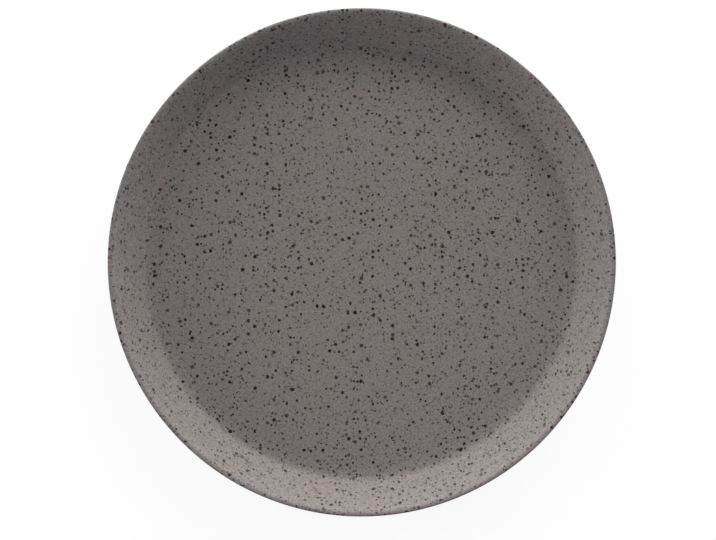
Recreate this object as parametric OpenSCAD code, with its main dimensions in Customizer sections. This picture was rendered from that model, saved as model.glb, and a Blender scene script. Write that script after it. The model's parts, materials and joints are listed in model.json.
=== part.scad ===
// Coupe dinner plate in speckled stoneware: one revolved clay body with an integral foot ring, under two coats of
// glaze. The coats part at the foot ring, whose contact edge is wiped bare so that the plate stands on clay.

/* [Plate] */
// Diameter over the lip
plate_d = 270; // [240:1:320]
// Height from the table to the top of the lip
plate_h = 25; // [20:0.5:34]
// Thickness of the flat floor, glaze included
floor_t = 5; // [3.5:0.1:7]

/* [Wall] */
// Slope of the wall on the food side, in degrees from level
wall_angle = 46; // [35:1:60]
// Thickness of the wall where it leaves the floor, glaze included
wall_t = 5; // [4:0.1:7]
// Radius of the cove between the floor and the wall
cove_r = 6; // [4:0.5:12]
// Radius of the gentle rise with which the floor runs into the cove
ease_r = 45; // [30:1:80]
// Slope that this rise reaches where the cove begins, in degrees
ease_angle = 7; // [3:0.5:10]
// Radius of the heel, the turn on the outside below the cove
heel_r = 12; // [8:0.5:20]

/* [Lip] */
// Thickness of the wall at the lip, glaze included
lip_t = 4; // [3:0.1:6]
// Radius of the inner round of the lip, from the wall up to its crest
lip_r = 3.5; // [1.5:0.1:4]
// Radius of the outer edge of the lip
lip_edge_r = 0.8; // [0.7:0.1:1.5]
// Radius of the turn from the upright edge of the lip into the outside
lip_under_r = 2; // [1:0.1:3]

/* [Foot ring] */
// Diameter over the outside of the foot ring
foot_d = 186; // [120:1:206]
// Width of the foot ring, glaze included
foot_w = 6; // [4:0.5:12]
// Height of the foot ring, from the table to the underside of the floor
foot_h = 3; // [2.9:0.1:6]
// Radius of the fillets where the foot ring leaves the underside
foot_root_r = 1.2; // [0.6:0.1:1.3]
// Radius of the eased edges beside the contact face
foot_edge_r = 0.8; // [0.4:0.1:1.1]

/* [Glaze] */
// Thickness of the glaze coats
glaze_t = 0.4; // [0.2:0.05:0.55]
// Height of the bare clay on the sides of the foot ring, below the glaze line
bare_h = 1.2; // [0.9:0.1:1.3]

/* [Hidden] */

// Facets of a full turn, and the largest turn between two points of a rounded outline, in degrees
$fn = 180;
arc_step = 5;

// Level of the food face
well_z = foot_h + floor_t;

// The inner round and the outer edge of the lip meet at its crest, and the food face leaves the lip at the wall's slope
crest_r = plate_d / 2 - lip_edge_r;
lip_c = [crest_r, plate_h - lip_r];
lip_edge_c = [crest_r, plate_h - lip_edge_r];
lip_inside = lip_c + lip_r * [-sin(wall_angle), cos(wall_angle)];

// The turn under the lip lies one lip thickness behind the food side of the wall
under_r = plate_d / 2 - lip_under_r;
under_drop = (lip_t - lip_under_r - (under_r - lip_inside.x) * sin(wall_angle)) / cos(wall_angle);
under_c = [under_r, lip_inside.y - under_drop];

// The cove touches the food side of the wall, and the rise that leads into it touches the floor
ease_to_cove = (ease_r - cove_r) * [sin(ease_angle), -cos(ease_angle)];
cove_z = well_z + ease_r + ease_to_cove.y;
cove_drop = (lip_c.y - cove_z) * cos(wall_angle) + lip_r + cove_r;
cove_c = [lip_c.x - cove_drop / sin(wall_angle), cove_z];
ease_c = cove_c - ease_to_cove;

// The heel touches the underside, and lies one wall thickness behind the food side of the wall
heel_z = foot_h + heel_r;
heel_drop = (lip_inside.y - heel_z) * cos(wall_angle) + heel_r - wall_t;
heel_c = [lip_inside.x - heel_drop / sin(wall_angle), heel_z];

// Slope of the outside of the wall, which touches both the heel and the turn under the lip
heel_to_lip = under_c - heel_c;
outside_angle = atan2(heel_to_lip.y, heel_to_lip.x) + asin((heel_r - lip_under_r) / norm(heel_to_lip));

// Outer and inner radius of the foot ring, and the centres of its root fillets
foot_ro = foot_d / 2;
foot_ri = foot_ro - foot_w;
root_out_c = [foot_ro + foot_root_r, foot_h - foot_root_r];
root_in_c = [foot_ri - foot_root_r, foot_h - foot_root_r];

// Points of an arc round a centre, from one angle to another
function arc(centre, radius, start, end) =
    let (steps = ceil(abs(end - start) / arc_step))
    [for (i = [0 : steps])
        let (angle = start + (end - start) * i / steps)
        centre + radius * [cos(angle), sin(angle)]];

function reversed(points) = [for (i = [len(points) - 1 : -1 : 0]) points[i]];

// All points but the first, for an arc that goes on from the end of another
function rest(points) = [for (i = [1 : len(points) - 1]) points[i]];

// Food face, lip, outside of the wall, underside and outer root of the foot ring, at a depth under the glazed surface
function show_side(depth) = concat(
    [[0, well_z - depth]],
    arc(ease_c, ease_r + depth, -90, ease_angle - 90),
    rest(arc(cove_c, cove_r + depth, ease_angle - 90, wall_angle - 90)),
    arc(lip_c, lip_r - depth, wall_angle + 90, 90),
    rest(arc(lip_edge_c, lip_edge_r - depth, 90, 0)),
    arc(under_c, lip_under_r - depth, 0, outside_angle - 90),
    arc(heel_c, heel_r - depth, outside_angle - 90, -90),
    arc(root_out_c, foot_root_r + depth, 90, 180));

// Inner root of the foot ring and the recess inside it, at a depth under the glazed surface
function recess_side(depth) = concat(
    arc(root_in_c, foot_root_r + depth, 0, 90),
    [[0, foot_h + depth]]);

// Bare contact edge of the foot ring, from its outer to its inner side
function contact_edge() = concat(
    arc([foot_ro - glaze_t - foot_edge_r, foot_edge_r], foot_edge_r, 0, -90),
    arc([foot_ri + glaze_t + foot_edge_r, foot_edge_r], foot_edge_r, -90, -180));

// Rounded ends of the glaze on the two sides of the foot ring
function bead_outside() = arc([foot_ro - glaze_t, bare_h + glaze_t], glaze_t, 0, -90);
function bead_inside() = arc([foot_ri + glaze_t, bare_h + glaze_t], glaze_t, -90, -180);

// Fired clay core with its foot ring
module stoneware_body() {
    color("#a08f7c")
        rotate_extrude()
            polygon(concat(show_side(glaze_t), contact_edge(), recess_side(glaze_t)));
}

// Grey glaze over the food face, the lip and the outside, down to the glaze line of the foot ring
module glaze_coat() {
    color("#77726f")
        rotate_extrude()
            polygon(concat(show_side(0), bead_outside(), reversed(show_side(glaze_t))));
}

// Grey glaze in the recess inside the foot ring
module base_glaze() {
    color("#6f6b68")
        rotate_extrude()
            polygon(concat(bead_inside(), recess_side(0), reversed(recess_side(glaze_t))));
}

stoneware_body();
glaze_coat();
base_glaze();
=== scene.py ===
import json
import math

import bpy
import numpy as np
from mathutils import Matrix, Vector


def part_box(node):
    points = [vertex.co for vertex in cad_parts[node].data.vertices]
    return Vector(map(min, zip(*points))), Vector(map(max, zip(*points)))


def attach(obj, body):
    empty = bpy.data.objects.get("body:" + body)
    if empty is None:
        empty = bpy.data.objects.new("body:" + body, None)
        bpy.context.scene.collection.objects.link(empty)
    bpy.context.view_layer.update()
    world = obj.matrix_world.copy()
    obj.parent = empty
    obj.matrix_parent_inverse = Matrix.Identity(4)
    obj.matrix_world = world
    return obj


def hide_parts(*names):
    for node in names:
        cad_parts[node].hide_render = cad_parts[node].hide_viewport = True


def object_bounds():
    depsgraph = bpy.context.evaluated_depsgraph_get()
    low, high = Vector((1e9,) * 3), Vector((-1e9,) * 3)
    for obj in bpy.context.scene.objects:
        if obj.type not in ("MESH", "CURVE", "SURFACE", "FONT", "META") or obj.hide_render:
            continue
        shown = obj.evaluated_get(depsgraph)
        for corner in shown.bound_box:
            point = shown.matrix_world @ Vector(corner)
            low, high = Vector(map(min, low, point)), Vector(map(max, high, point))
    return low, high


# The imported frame, and the sizes that it holds, in metres
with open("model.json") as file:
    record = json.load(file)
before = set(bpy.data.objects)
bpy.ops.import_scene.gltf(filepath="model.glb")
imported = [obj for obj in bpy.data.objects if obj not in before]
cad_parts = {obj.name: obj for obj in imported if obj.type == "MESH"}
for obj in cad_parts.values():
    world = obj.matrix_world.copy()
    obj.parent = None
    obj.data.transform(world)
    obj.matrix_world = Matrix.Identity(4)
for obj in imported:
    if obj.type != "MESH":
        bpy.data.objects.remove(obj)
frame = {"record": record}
cad_low, cad_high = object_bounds()
mounts = {mount["name"]: Vector(mount["pos_m"]) for mount in frame["record"]["mounts"]}

PLATE_RADIUS = cad_high.x
PLATE_HEIGHT = cad_high.z
WELL_LEVEL = mounts["well_floor"].z
GLAZE = PLATE_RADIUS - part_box("stoneware_body")[1].x
GLAZE_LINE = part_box("glaze_coat")[0].z
UNDERSIDE_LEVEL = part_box("base_glaze")[1].z - GLAZE
FOOT_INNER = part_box("base_glaze")[1].x - GLAZE
FOOT_OUTER = 2 * mounts["foot_ring_face"].x - FOOT_INNER

# Section of the plate, as in the CAD source: slopes in degrees, sizes in metres
WALL_SLOPE = 46
WALL_THICKNESS = 0.005
LIP_THICKNESS = 0.004
LIP_RADIUS = 0.0035
LIP_EDGE_RADIUS = 0.0008
LIP_UNDER_RADIUS = 0.002
COVE_RADIUS = 0.006
EASE_RADIUS = 0.045
EASE_SLOPE = 7
HEEL_RADIUS = 0.012
ROOT_RADIUS = 0.0012
EDGE_RADIUS = 0.0008

# Fineness of the meshes: points round a full turn, the largest steps along flats and arcs, in metres, and
# the largest turn between two points of an arc, in degrees. Points closer than the join gap count as one
TURN_POINTS = 288
FLAT_STEP = 0.004
ARC_STEP = 0.0009
ARC_TURN = 4
JOIN_GAP = 1e-6

# Edges that turn by more than this, in degrees, are shaded as sharp
SHARP_TURN = 40

# The wiped glaze line on the foot ring wanders in waves, of which so many go round. Each is this high, over
# the root of its number, and is shifted by its number squared, counted in parts of its length
LINE_WAVE_HEIGHT = 0.00022
LINE_WAVES = (3, 5, 8, 13)
LINE_WAVE_PARTS = 7

# Discs of the bake map, each with its middle, the same across and up, and its radius. Faces that show have
# the large one, and faces that the clay and the glaze hide from view have the small one in the corner
SHOWN_DISC = (0.5, 0.498)
HIDDEN_DISC = (0.92, 0.07)


# Points of the section

def arc(centre, radius, start, end):
    """Points round a centre, from one angle to another, in degrees."""
    length = radius * math.radians(abs(end - start))
    steps = math.ceil(max(length / ARC_STEP, abs(end - start) / ARC_TURN))
    angles = np.radians(np.linspace(start, end, steps + 1))
    return [Vector((centre.x + radius * math.cos(a), centre.y + radius * math.sin(a))) for a in angles]


def filled(points):
    """The same points, with more between those that lie far apart and one where two arcs meet."""
    made = [points[0]]
    for start, end in zip(points, points[1:]):
        gap = (end - start).length
        if gap > JOIN_GAP:
            pieces = math.ceil(gap / FLAT_STEP)
            made += [start.lerp(end, i / pieces) for i in range(1, pieces + 1)]
    return made


slope = math.radians(WALL_SLOPE)
ease = math.radians(EASE_SLOPE)

# The inner round and the outer edge of the lip meet at its crest
crest = PLATE_RADIUS - LIP_EDGE_RADIUS
lip_centre = Vector((crest, PLATE_HEIGHT - LIP_RADIUS))
lip_edge_centre = Vector((crest, PLATE_HEIGHT - LIP_EDGE_RADIUS))
lip_inside = lip_centre + LIP_RADIUS * Vector((-math.sin(slope), math.cos(slope)))

# The turn under the lip lies one lip thickness behind the food side of the wall
under_reach = PLATE_RADIUS - LIP_UNDER_RADIUS
under_behind = LIP_THICKNESS - LIP_UNDER_RADIUS - (under_reach - lip_inside.x) * math.sin(slope)
under_centre = Vector((under_reach, lip_inside.y - under_behind / math.cos(slope)))

# The cove touches the food side of the wall, and the rise that leads into it touches the floor
ease_to_cove = (EASE_RADIUS - COVE_RADIUS) * Vector((math.sin(ease), -math.cos(ease)))
cove_height = WELL_LEVEL + EASE_RADIUS + ease_to_cove.y
cove_drop = (lip_centre.y - cove_height) * math.cos(slope) + LIP_RADIUS + COVE_RADIUS
cove_centre = Vector((lip_centre.x - cove_drop / math.sin(slope), cove_height))
ease_centre = cove_centre - ease_to_cove

# The heel touches the underside, and lies one wall thickness behind the food side of the wall
heel_height = UNDERSIDE_LEVEL + HEEL_RADIUS
heel_drop = (lip_inside.y - heel_height) * math.cos(slope) + HEEL_RADIUS - WALL_THICKNESS
heel_centre = Vector((lip_inside.x - heel_drop / math.sin(slope), heel_height))

# The outside of the wall touches both the heel and the turn under the lip
heel_to_lip = under_centre - heel_centre
heel_to_lip_slope = math.atan2(heel_to_lip.y, heel_to_lip.x)
heel_lean = math.asin((HEEL_RADIUS - LIP_UNDER_RADIUS) / heel_to_lip.length)
outside_slope = math.degrees(heel_to_lip_slope + heel_lean)

# Level of the centres of the fillets at the foot ring's root
root_height = UNDERSIDE_LEVEL - ROOT_RADIUS


def food_side(depth):
    """From the axis over the floor, cove and wall to the crest of the lip, at a depth below the surface."""
    return filled(
        [Vector((0, WELL_LEVEL - depth))]
        + arc(ease_centre, EASE_RADIUS + depth, -90, EASE_SLOPE - 90)
        + arc(cove_centre, COVE_RADIUS + depth, EASE_SLOPE - 90, WALL_SLOPE - 90)
        + arc(lip_centre, LIP_RADIUS - depth, WALL_SLOPE + 90, 90)
    )


def outer_side(depth):
    """From the crest of the lip down the outside and along the underside to the foot ring."""
    return filled(
        arc(lip_edge_centre, LIP_EDGE_RADIUS - depth, 90, 0)
        + arc(under_centre, LIP_UNDER_RADIUS - depth, 0, outside_slope - 90)
        + arc(heel_centre, HEEL_RADIUS - depth, outside_slope - 90, -90)
        + arc(Vector((FOOT_OUTER + ROOT_RADIUS, root_height)), ROOT_RADIUS + depth, 90, 180)
    )


def recess_side(depth):
    """From the foot ring's inner side over the recess to the axis."""
    return filled(
        arc(Vector((FOOT_INNER - ROOT_RADIUS, root_height)), ROOT_RADIUS + depth, 0, 90)
        + [Vector((0, UNDERSIDE_LEVEL + depth))]
    )


def contact_edge():
    """The bare edge of the foot ring, from its outer to its inner side."""
    outer = Vector((FOOT_OUTER - GLAZE - EDGE_RADIUS, EDGE_RADIUS))
    inner = Vector((FOOT_INNER + GLAZE + EDGE_RADIUS, EDGE_RADIUS))
    return filled(arc(outer, EDGE_RADIUS, 0, -90) + arc(inner, EDGE_RADIUS, -90, -180))


# Meshes turned from the section

def line_wave(turn):
    """Rise of the wiped glaze line at a share of the full turn."""
    waves = 0
    for n in LINE_WAVES:
        waves += math.sin(2 * math.pi * (n * turn + n * n / LINE_WAVE_PARTS)) / math.sqrt(n)
    return LINE_WAVE_HEIGHT * waves


def spread(points, start, way):
    """Reach of each point on the bake map: its way along the section, out or in from the first reach."""
    made = [start]
    for a, b in zip(points, points[1:]):
        made.append(made[-1] + way * (b - a).length)
    return made


def on_disc(disc, share, turn):
    """Place on the bake map at a share of a disc's radius and a share of the full turn."""
    middle, radius = disc
    angle = 2 * math.pi * turn
    return (middle + share * radius * math.cos(angle), middle + share * radius * math.sin(angle))


def turned_points(section, waving):
    """The section's points turned about the axis, and where each one's ring starts among them. Points in
    waving follow the glaze line."""
    vertices = []
    first = []
    for i, p in enumerate(section):
        first.append(len(vertices))
        for k in range(1 if p.x == 0 else TURN_POINTS):
            angle = 2 * math.pi * k / TURN_POINTS
            rise = line_wave(k / TURN_POINTS) if i in waving else 0
            vertices.append((p.x * math.cos(angle), p.x * math.sin(angle), p.y + rise))
    return vertices, first


def turned_faces(section):
    """Faces between neighbouring points of the closed section, wound outwards. Each corner has the number of
    its point and its step round the turn."""
    faces = []
    for i, here in enumerate(section):
        j = (i + 1) % len(section)
        after = section[j]
        if here.x == 0 and after.x == 0:
            continue
        for k in range(TURN_POINTS):
            corners = [(i, 0)] if here.x == 0 else [(i, k + 1), (i, k)]
            corners += [(j, 0)] if after.x == 0 else [(j, k), (j, k + 1)]
            faces.append(corners)
    return faces


def turned(name, section, reaches, waving=()):
    """A closed mesh: the section turned about the axis, with a bake map that keeps the reach of each point
    that shows. Hidden points have None as their reach."""
    vertices, first = turned_points(section, waving)
    faces = turned_faces(section)
    mesh = bpy.data.meshes.new(name)
    mesh.from_pydata(vertices, [], [[first[i] + k % TURN_POINTS for i, k in corners] for corners in faces])
    widest = max(reach for reach in reaches if reach is not None)
    places = []
    for corners in faces:
        hidden = any(reaches[i] is None for i, k in corners)
        disc = HIDDEN_DISC if hidden else SHOWN_DISC
        for i, k in corners:
            share = section[i].x / PLATE_RADIUS if hidden else reaches[i] / widest
            places.append(on_disc(disc, share, k / TURN_POINTS))
    layer = mesh.uv_layers.new(name="OFBake")
    for loop, place in zip(layer.data, places):
        loop.uv = place
    mesh.shade_smooth()
    mesh.set_sharp_from_angle(angle=math.radians(SHARP_TURN))
    piece = bpy.data.objects.new(name, mesh)
    bpy.context.scene.collection.objects.link(piece)
    return piece


# Nodes of the materials

# Sockets of a Mix node that mixes colours
MIX_SHARE = 0
MIX_FIRST = 6
MIX_SECOND = 7
MIX_RESULT = 2

# Soft noise lies round this middle, and most of it in this range. Its detail is the number of finer layers
NOISE_MIDDLE = (0.5, 0.5, 0.5)
NOISE_RANGE = (0.3, 0.7)
SMOOTH = 1.0
SOFT = 2.0
UNEVEN = 3.0
ROUGH = 4.0


def fill(tree, socket, value):
    """Links a socket to another one, or sets its own value."""
    if isinstance(value, bpy.types.NodeSocket):
        tree.links.new(value, socket)
    else:
        socket.default_value = value


def add(tree, kind, inputs, **settings):
    """A new node with its settings and inputs."""
    node = tree.nodes.new("ShaderNode" + kind)
    for name, value in settings.items():
        setattr(node, name, value)
    for key, value in inputs.items():
        fill(tree, node.inputs[key], value)
    return node


def math_node(tree, operation, a, b=0.0):
    """The result of a sum, product or other operation on two values."""
    return add(tree, "Math", {0: a, 1: b}, operation=operation).outputs[0]


def vector_node(tree, operation, a, b):
    """The result of an operation on two places or directions."""
    return add(tree, "VectorMath", {0: a, 1: b}, operation=operation).outputs[0]


def scaled(tree, vector, share):
    """A place, direction or colour times a value."""
    return add(tree, "VectorMath", {0: vector, "Scale": share}, operation="SCALE").outputs[0]


def length_of(tree, vector):
    """The distance of a place from the object's origin."""
    return add(tree, "VectorMath", {0: vector}, operation="LENGTH").outputs["Value"]


def from_axis(tree, place):
    """The distance of a place from the plate's axis."""
    return length_of(tree, vector_node(tree, "MULTIPLY", place, (1, 1, 0)))


def ranged(tree, value, low, high, start=0.0, end=1.0):
    """A value moved smoothly from one range to another."""
    inputs = {"Value": value, "From Min": low, "From Max": high, "To Min": start, "To Max": end}
    return add(tree, "MapRange", inputs, interpolation_type="SMOOTHSTEP").outputs[0]


def blended(tree, share, a, b):
    """A colour between two others."""
    inputs = {MIX_SHARE: share, MIX_FIRST: a, MIX_SECOND: b}
    return add(tree, "Mix", inputs, data_type="RGBA").outputs[MIX_RESULT]


def noise(tree, place, size, detail=SOFT, output="Fac"):
    """Soft noise whose patches are about this many metres across."""
    return add(tree, "TexNoise", {"Vector": place, "Scale": 1 / size, "Detail": detail}).outputs[output]


def new_material(name):
    """A new material with its node tree, its shader and the place on the object."""
    material = bpy.data.materials.new(name)
    material.use_nodes = True
    tree = material.node_tree
    shader = tree.nodes["Principled BSDF"]
    place = tree.nodes.new("ShaderNodeTexCoord").outputs["Object"]
    return material, tree, shader, place


# Materials of the plate, in linear colour

GLAZE_WARM = (0.189, 0.173, 0.158, 1)
GLAZE_COOL = (0.192, 0.173, 0.168, 1)
GLAZE_BLUSH = (0.199, 0.172, 0.165, 1)
IRON_BLACK = (0.012, 0.006, 0.005, 1)
IRON_RUST = (0.034, 0.020, 0.016, 1)

# Sizes of specks: spacing of the iron grains, and the radius of the smallest and largest. Small ones
# outnumber the large ones, because the random value that sets a radius is raised to this power
SPECKS = {
    "coarse": (0.00336, 0.00064, 0.00120),
    "middling": (0.00200, 0.00054, 0.00100),
    "fine": (0.00148, 0.00048, 0.00086),
}
SPECK_SKEW = 2.2

# How much the weakest and strongest specks hide the glaze, and the share of the radius at full strength
SPECK_STRENGTH = {"coarse": (0.8, 1.0), "middling": (0.5, 1.0), "fine": (0.25, 0.6)}
SPECK_CORE_SHARE = {"coarse": 0.75, "middling": 0.58, "fine": 0.1}

# On the slope of the wall, where the glaze ran in the kiln, specks keep this share of their strength. The
# upright part of the surface's direction tells the slope from level ground
SLOPE_STRENGTH_SHARE = 0.85
SLOPE_UPRIGHT = 0.72
LEVEL_UPRIGHT = 0.98

# Width of the patches in which specks crowd, and the share of grains that show where they are few and many
CLUSTER_SIZE = 0.030
CROWDING = (0.48, 0.80)

# Width and reach of the waves in the specks' outlines
RAGGED_SIZE = 0.0008
RAGGED_REACH = 0.0010

# The glaze turns from its warm to its cool tone between these distances from the axis, with this much
# unevenness, in patches of this width
WARM_REACH = 0.055
COOL_REACH = 0.100
UNEVEN_REACH = 0.060
PATCH_SIZE = 0.035

# Width of the patches in which the clay's iron gives the glaze a faint blush, and the range of the noise in
# which it comes up
BLUSH_SIZE = 0.014
BLUSH_RANGE = (0.44, 0.66)

# The glaze draws back from the lip. It gathers in a paler band below it, which starts this far inside the
# edge, and from the next distance on it thins and lets the clay darken it. The shares are of the colour
GATHER_REACH = 0.0056
GATHER_SHARE = 1.05
THIN_REACH = 0.0031
THIN_SHARE = 0.86

# Fine mottle of the glaze: width of its grains, and the share of the colour by which they differ
GRAIN_SIZE = 0.0010
GRAIN_SHARE = 0.19

# Roughness of the glaze and of the specks in it, and the strength of its mirroring
GLAZE_ROUGHNESS = 0.52
SPECK_ROUGHNESS = 0.66
GLAZE_SHINE = 0.10

# Relief of the glaze: width of its waves, the shares by which waves rise and specks sink, strength and depth
PEEL_SIZE = 0.0024
PEEL_SHARE = 0.5
SINK_SHARE = 0.3
GLAZE_RELIEF_STRENGTH = 0.25
GLAZE_RELIEF_DEPTH = 0.0001

# Bare clay: the buffs of its patches, their width and the range of the noise in which they change, its iron,
# and the share of iron grains that show
CLAY_DARK = (0.30, 0.23, 0.17, 1)
CLAY_PALE = (0.40, 0.31, 0.23, 1)
CLAY_PATCH_SIZE = 0.006
CLAY_PATCH_RANGE = (0.35, 0.65)
CLAY_IRON = (0.06, 0.04, 0.03, 1)
CLAY_CROWDING = 0.8

# Surface of the clay: width of its grit, its roughness, mirroring and relief
GRIT_SIZE = 0.0006
CLAY_ROUGHNESS = (0.8, 0.95)
CLAY_SHINE = 0.2
CLAY_RELIEF_STRENGTH = 0.5
CLAY_RELIEF_DEPTH = 0.00015


def glaze_tone(tree, place, reach):
    """Grey of the glaze, which is cooler away from the middle and has a faint blush in patches."""
    clouds = ranged(tree, noise(tree, place, PATCH_SIZE), *NOISE_RANGE, 0.0, UNEVEN_REACH)
    coolness = ranged(tree, math_node(tree, "ADD", reach, clouds), WARM_REACH, COOL_REACH + UNEVEN_REACH)
    tone = blended(tree, coolness, GLAZE_WARM, GLAZE_COOL)
    blush = ranged(tree, noise(tree, place, BLUSH_SIZE), *BLUSH_RANGE)
    return blended(tree, blush, tone, GLAZE_BLUSH)


def glaze_level(tree, place, reach):
    """What the tone is multiplied by: the fine mottle, and the gathering and thinning near the lip."""
    grain = noise(tree, place, GRAIN_SIZE, SMOOTH)
    mottle = ranged(tree, grain, *NOISE_RANGE, 1 - GRAIN_SHARE, 1 + GRAIN_SHARE)
    thin_start = PLATE_RADIUS - THIN_REACH
    gathering = ranged(tree, reach, PLATE_RADIUS - GATHER_REACH, thin_start, 1.0, GATHER_SHARE)
    thinning = ranged(tree, reach, thin_start, crest, 1.0, THIN_SHARE)
    return math_node(tree, "MULTIPLY", mottle, math_node(tree, "MULTIPLY", gathering, thinning))


def ragged_place(tree, place):
    """The place on the object, moved to and fro a little, which makes the outlines of specks uneven."""
    ragged = noise(tree, place, RAGGED_SIZE, SMOOTH, "Color")
    centred = vector_node(tree, "SUBTRACT", ragged, NOISE_MIDDLE)
    return vector_node(tree, "ADD", place, scaled(tree, centred, RAGGED_REACH))


def speck_clearness(tree, place):
    """Share of their strength that specks keep on level ground and on the slope of the wall."""
    upright = add(tree, "SeparateXYZ", {0: place.node.outputs["Normal"]}).outputs["Z"]
    flatness = math_node(tree, "ABSOLUTE", upright)
    return ranged(tree, flatness, SLOPE_UPRIGHT, LEVEL_UPRIGHT, SLOPE_STRENGTH_SHARE, 1.0)


def speck_layer(tree, place, crowding, clearness, kind):
    """How much one size of speck covers the surface, at a clearness, and a random value for each speck."""
    spacing, smallest, largest = SPECKS[kind]
    weakest, strongest = SPECK_STRENGTH[kind]
    grains = add(tree, "TexVoronoi", {"Vector": place, "Scale": 1 / spacing})
    random_parts = add(tree, "SeparateColor", {0: grains.outputs["Color"]})
    skewed = math_node(tree, "POWER", random_parts.outputs[0], SPECK_SKEW)
    radius = ranged(tree, skewed, 0.0, 1.0, smallest / spacing, largest / spacing)
    rim = math_node(tree, "MULTIPLY", radius, SPECK_CORE_SHARE[kind])
    spot = ranged(tree, grains.outputs["Distance"], radius, rim)
    full_strength = ranged(tree, random_parts.outputs[1], 0.0, 1.0, weakest, strongest)
    strength = math_node(tree, "MULTIPLY", full_strength, clearness)
    there = math_node(tree, "LESS_THAN", random_parts.outputs[2], crowding)
    cover = math_node(tree, "MULTIPLY", math_node(tree, "MULTIPLY", spot, strength), there)
    return cover, random_parts.outputs[1]


def glaze_material():
    """Satin grey glaze with iron specks of three sizes, the larger of which sink a little into it."""
    material, tree, shader, place = new_material("speckled_glaze")
    reach = from_axis(tree, place)
    colour = scaled(tree, glaze_tone(tree, place, reach), glaze_level(tree, place, reach))
    crowding = ranged(tree, noise(tree, place, CLUSTER_SIZE, UNEVEN), *NOISE_RANGE, *CROWDING)
    speck_place = ragged_place(tree, place)
    clearness = speck_clearness(tree, place)
    covers = []
    for kind in SPECKS:
        cover, purity = speck_layer(tree, speck_place, crowding, clearness, kind)
        iron = blended(tree, purity, IRON_RUST, IRON_BLACK)
        colour = blended(tree, cover, colour, iron)
        covers.append(cover)
    fill(tree, shader.inputs["Base Color"], colour)
    most = math_node(tree, "MAXIMUM", covers[0], covers[1])
    fill(tree, shader.inputs["Roughness"], ranged(tree, most, 0.0, 1.0, GLAZE_ROUGHNESS, SPECK_ROUGHNESS))
    shader.inputs["Specular IOR Level"].default_value = GLAZE_SHINE
    risen = math_node(tree, "MULTIPLY", noise(tree, place, PEEL_SIZE), PEEL_SHARE)
    height = math_node(tree, "SUBTRACT", risen, math_node(tree, "MULTIPLY", most, SINK_SHARE))
    relief = {"Strength": GLAZE_RELIEF_STRENGTH, "Distance": GLAZE_RELIEF_DEPTH, "Height": height}
    fill(tree, shader.inputs["Normal"], add(tree, "Bump", relief).outputs[0])
    return material


def clay_material():
    """Bare fired clay: buff, dry and gritty, with iron grains."""
    material, tree, shader, place = new_material("bare_clay")
    clouds = ranged(tree, noise(tree, place, CLAY_PATCH_SIZE, ROUGH), *CLAY_PATCH_RANGE)
    buff = blended(tree, clouds, CLAY_DARK, CLAY_PALE)
    cover, _ = speck_layer(tree, place, CLAY_CROWDING, 1.0, "middling")
    fill(tree, shader.inputs["Base Color"], blended(tree, cover, buff, CLAY_IRON))
    grit = noise(tree, place, GRIT_SIZE, ROUGH)
    fill(tree, shader.inputs["Roughness"], ranged(tree, grit, *NOISE_RANGE, *CLAY_ROUGHNESS))
    shader.inputs["Specular IOR Level"].default_value = CLAY_SHINE
    relief = {"Strength": CLAY_RELIEF_STRENGTH, "Distance": CLAY_RELIEF_DEPTH, "Height": grit}
    fill(tree, shader.inputs["Normal"], add(tree, "Bump", relief).outputs[0])
    return material


# Pieces of the plate

glaze = glaze_material()
clay = clay_material()


def dressed(piece, material, node):
    """Gives a piece its material, hangs it from the root, and hides the CAD node that it stands for."""
    piece.data.materials.append(material)
    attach(piece, "root")
    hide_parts(node)


def make_face():
    """Glaze over the food face, up to the lip."""
    top = food_side(0)
    back = food_side(GLAZE)[::-1]
    piece = turned("glaze_face", top + back, spread(top, 0, 1) + [None] * len(back))
    dressed(piece, glaze, "glaze_coat")


def make_outside():
    """Glaze over the outside, from the lip to the glaze line on the foot ring."""
    bead = arc(Vector((FOOT_OUTER - GLAZE, GLAZE_LINE + GLAZE)), GLAZE, 0, -90)
    top = outer_side(0)
    back = outer_side(GLAZE)[::-1]
    shown = top + bead
    length = spread(shown, 0, 1)[-1]
    reaches = spread(shown, FOOT_OUTER + length, -1)
    waving = range(len(top), len(shown))
    piece = turned("glaze_outside", shown + back, reaches + [None] * len(back), waving)
    dressed(piece, glaze, "glaze_coat")


def make_base():
    """Glaze in the recess inside the foot ring."""
    bead = arc(Vector((FOOT_INNER + GLAZE, GLAZE_LINE + GLAZE)), GLAZE, -90, -180)
    shown = bead + recess_side(0)
    back = recess_side(GLAZE)[::-1]
    reaches = spread(shown[::-1], 0, 1)[::-1]
    piece = turned("glaze_base", shown + back, reaches + [None] * len(back), range(len(bead)))
    dressed(piece, glaze, "base_glaze")


def make_body():
    """Clay core, bare only at the contact edge of its foot ring."""
    covered = food_side(GLAZE) + outer_side(GLAZE)[1:]
    recess = recess_side(GLAZE)
    foot = covered[-1:] + contact_edge() + recess[:1]
    section = covered[:-1] + foot + recess[1:]
    reaches = [None] * len(covered[:-1]) + spread(foot, FOOT_OUTER, -1) + [None] * len(recess[1:])
    piece = turned("stoneware_core", section, reaches)
    dressed(piece, clay, "stoneware_body")


make_face()
make_outside()
make_base()
make_body()


# Floor, light and camera

# Half the width of the floor, its glow beside the plate, and the distances between which it turns pure white
FLOOR_HALF_WIDTH = 8.0
FLOOR_GLOW = 0.90
FLOOR_FADE_START = 0.4
FLOOR_FADE_END = 1.5

# Colour of the floor where it is seen, on top of its glow, and colour of the floor that lights the plate
FLOOR_SHADED = (0.12, 0.12, 0.12, 1)
FLOOR_BOUNCE = (0.80, 0.80, 0.80, 1)

# Strength and colour of the light from all round, colour of the panels, and colour of what is seen behind
AMBIENT = 0.35
AMBIENT_TINT = (0.970, 0.985, 1.085, 1)
PANEL_TINT = (1.0, 0.998, 0.962)
WHITE = (1, 1, 1, 1)


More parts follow.
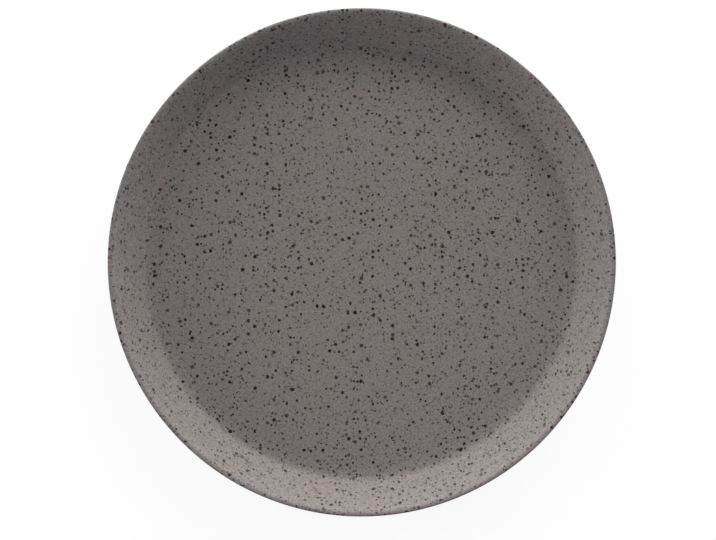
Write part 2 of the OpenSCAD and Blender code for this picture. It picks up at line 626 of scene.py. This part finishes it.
def seen_ray(tree):
    """One for rays that show the background: from the camera, or by way of a reflection or glass."""
    path = tree.nodes.new("ShaderNodeLightPath")
    shiny = math_node(tree, "MAXIMUM", path.outputs["Is Glossy Ray"], path.outputs["Is Transmission Ray"])
    return math_node(tree, "MAXIMUM", path.outputs["Is Camera Ray"], shiny)


def floor_material():
    """White that keeps the plate's soft shadow and fades to pure white away from it."""
    material, tree, shader, place = new_material("white_floor")
    tree.nodes.remove(shader)
    strength = ranged(tree, length_of(tree, place), FLOOR_FADE_START, FLOOR_FADE_END, FLOOR_GLOW, 1.0)
    glow = add(tree, "Emission", {"Strength": strength})
    shaded = add(tree, "BsdfDiffuse", {"Color": FLOOR_SHADED})
    shown = add(tree, "AddShader", {0: glow.outputs[0], 1: shaded.outputs[0]})
    bounce = add(tree, "BsdfDiffuse", {"Color": FLOOR_BOUNCE})
    mixed = add(tree, "MixShader", {0: seen_ray(tree), 1: bounce.outputs[0], 2: shown.outputs[0]})
    tree.links.new(mixed.outputs[0], tree.nodes["Material Output"].inputs["Surface"])
    return material


def make_floor():
    """A level square that the plate stands on."""
    mesh = bpy.data.meshes.new("floor")
    sides = ((-1, -1), (1, -1), (1, 1), (-1, 1))
    corners = [(x * FLOOR_HALF_WIDTH, y * FLOOR_HALF_WIDTH, 0) for x, y in sides]
    mesh.from_pydata(corners, [], [(0, 1, 2, 3)])
    floor = bpy.data.objects.new("floor", mesh)
    bpy.context.scene.collection.objects.link(floor)
    mesh.materials.append(floor_material())


def make_world():
    """White surroundings, which light the plate less than they show."""
    world = bpy.data.worlds.new("studio")
    bpy.context.scene.world = world
    world.use_nodes = True
    tree = world.node_tree
    background = tree.nodes["Background"]
    seen = seen_ray(tree)
    fill(tree, background.inputs["Color"], blended(tree, seen, AMBIENT_TINT, WHITE))
    fill(tree, background.inputs["Strength"], ranged(tree, seen, 0.0, 1.0, AMBIENT, 1.0))


# Soft panels round the plate: direction and elevation in degrees, height in metres, and power in watts
PANELS = {
    "right_low": (60, 5.5, 0.46, 34.0),
    "right_middle": (60, 22, 0.6, 29.6),
    "right_high": (60, 35, 0.6, 18.0),
    "back_low": (90, 5.5, 0.46, 13.4),
    "back_left": (120, 22, 0.6, 17.0),
    "left_low": (150, 8, 0.6, 30.6),
    "left": (180, 14, 0.6, 19.4),
    "front": (270, 10, 0.6, 6.6),
}
PANEL_WIDTH = 1.6
PANEL_DISTANCE = 2.5


def make_panel(name, direction, elevation, tall, power):
    """A soft panel that stands beside the plate and faces it."""
    light = bpy.data.lights.new(name, "AREA")
    light.shape = "RECTANGLE"
    light.size = PANEL_WIDTH
    light.size_y = tall
    light.energy = power
    light.color = PANEL_TINT
    panel = bpy.data.objects.new(name, light)
    bpy.context.scene.collection.objects.link(panel)
    angle = math.radians(direction)
    raised = math.radians(elevation)
    level = math.cos(raised)
    towards = Vector((level * math.cos(angle), level * math.sin(angle), math.sin(raised)))
    panel.location = PANEL_DISTANCE * towards
    panel.rotation_euler = towards.to_track_quat("Z", "Y").to_euler()
    panel.visible_camera = False


# Size of the photograph in pixels, where the middle of the lip falls in it, and the lip's radius there
PHOTO_WIDTH = 716
PHOTO_HEIGHT = 540
OUTLINE_X = 362.59
OUTLINE_Y = 262.99
OUTLINE_RADIUS = 253.98

# Focal length and width of the sensor, in millimetres
LENS = 120.0
SENSOR = 36.0

# The camera leans a little from straight above, towards the photograph's left and top, in degrees
LEAN_LEFT = 2.0
LEAN_UP = 1.6


def make_camera():
    """A camera above the plate, set so that the lip falls on the photograph's outline."""
    pixel = PLATE_RADIUS / OUTLINE_RADIUS
    distance = LENS / SENSOR * PHOTO_WIDTH * pixel
    data = bpy.data.cameras.new("camera")
    data.lens = LENS
    data.sensor_width = SENSOR
    camera = bpy.data.objects.new("camera", data)
    bpy.context.scene.collection.objects.link(camera)
    camera.rotation_euler = (-math.radians(LEAN_UP), -math.radians(LEAN_LEFT), 0)
    across = (PHOTO_WIDTH / 2 - OUTLINE_X) * pixel
    up = (OUTLINE_Y - PHOTO_HEIGHT / 2) * pixel
    middle = Vector((0, 0, under_centre.y))
    camera.location = middle + camera.rotation_euler.to_matrix() @ Vector((across, up, distance))
    bpy.context.scene.camera = camera


make_floor()
make_world()
for panel_name, values in PANELS.items():
    make_panel(panel_name, *values)
make_camera()
bpy.context.scene.view_settings.view_transform = "Standard"
